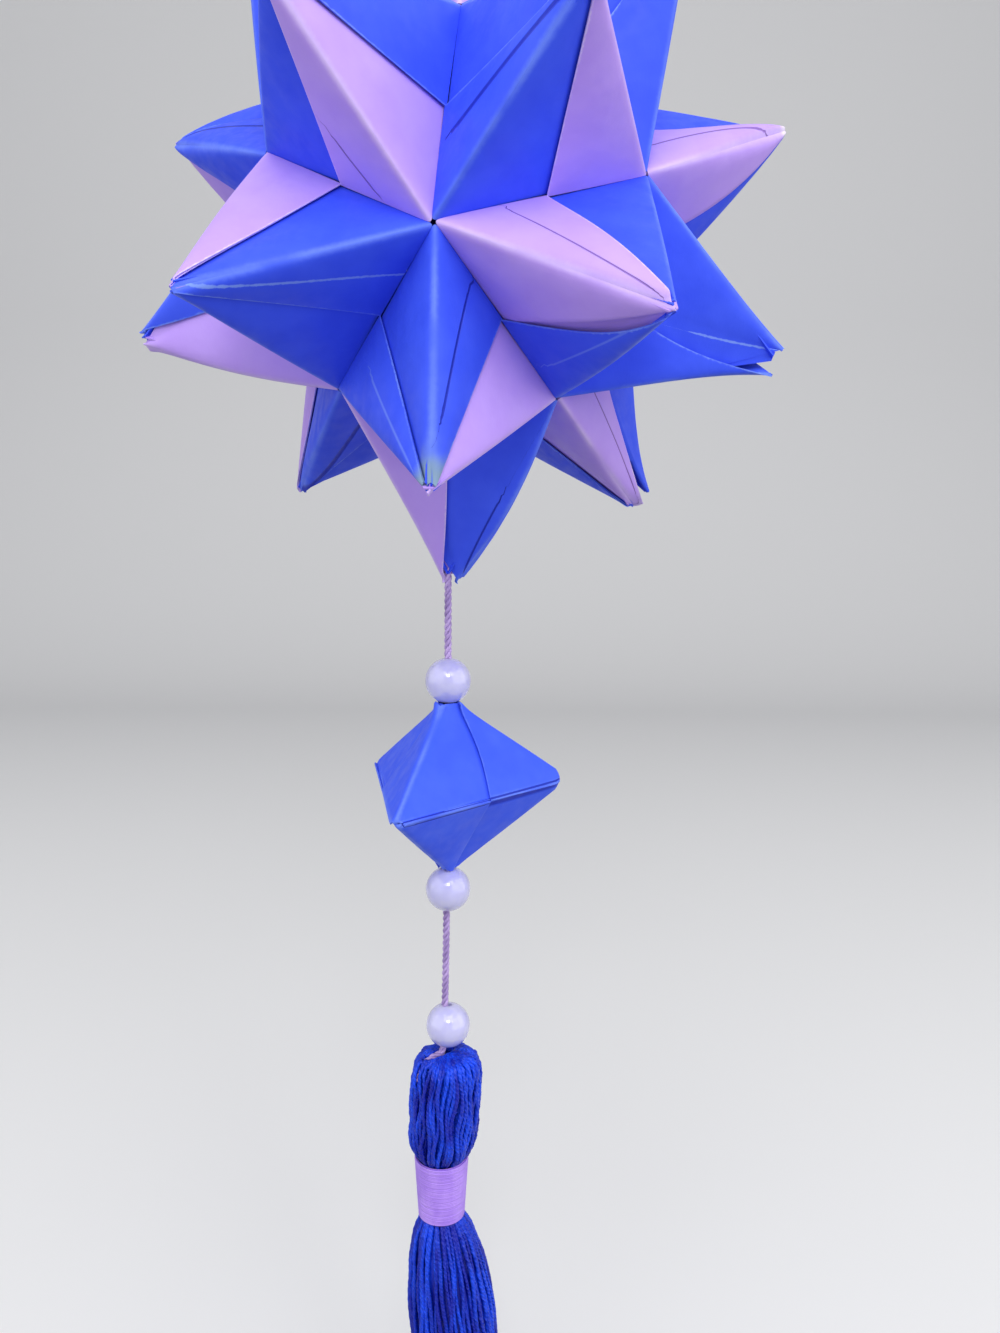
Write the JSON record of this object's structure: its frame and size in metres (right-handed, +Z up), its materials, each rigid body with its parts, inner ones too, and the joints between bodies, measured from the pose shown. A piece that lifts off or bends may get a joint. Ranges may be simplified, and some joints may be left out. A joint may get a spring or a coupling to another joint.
{
  "type": "kusudama paper ball",
  "caption": "Spiked star ball folded from pink and blue paper units, hung on a cord with beads, a small folded paper jewel and a floss tassel.",
  "frame": {"origin": "where the hanging loop bears on its hook, at the inner top of the loop", "axes": "+Z up along the cord, +X to the right and -Y towards the viewer as the picture shows the ball"},
  "size_m": [0.1122, 0.1052, 0.3449],
  "materials": {
    "pink_paper": "matt lilac pink folding paper",
    "blue_paper": "matt bright blue folding paper",
    "jewel_paper": "matt bright blue folding paper",
    "bead": "glossy milky lilac",
    "cord": "twisted lilac cotton cord",
    "floss": "shiny royal blue floss",
    "band_thread": "lilac thread, closely wound"
  },
  "bodies": {
    "root": {"bead_above_jewel": "bead", "bead_above_tassel": "bead", "bead_below_jewel": "bead", "blue_star_unit_01": "blue_paper", "blue_star_unit_02": "blue_paper", "blue_star_unit_03": "blue_paper", "blue_star_unit_04": "blue_paper", "blue_star_unit_05": "blue_paper", "blue_star_unit_06": "blue_paper", "blue_star_unit_07": "blue_paper", "blue_star_unit_08": "blue_paper", "blue_star_unit_09": "blue_paper", "blue_star_unit_10": "blue_paper", "blue_star_unit_11": "blue_paper", "blue_star_unit_12": "blue_paper", "blue_star_unit_13": "blue_paper", "blue_star_unit_14": "blue_paper", "blue_star_unit_15": "blue_paper", "blue_star_unit_16": "blue_paper", "blue_star_unit_17": "blue_paper", "blue_star_unit_18": "blue_paper", "blue_star_unit_19": "blue_paper", "blue_star_unit_20": "blue_paper", "hanging_cord": "cord", "jewel_unit_left": "jewel_paper", "jewel_unit_right_back": "jewel_paper", "jewel_unit_right_front": "jewel_paper", "pink_star_unit_01": "pink_paper", "pink_star_unit_02": "pink_paper", "pink_star_unit_03": "pink_paper", "pink_star_unit_04": "pink_paper", "pink_star_unit_05": "pink_paper", "pink_star_unit_06": "pink_paper", "pink_star_unit_07": "pink_paper", "pink_star_unit_08": "pink_paper", "pink_star_unit_09": "pink_paper", "pink_star_unit_10": "pink_paper", "tassel_band": "band_thread", "tassel_floss": "floss"}
  },
  "joints": []
}
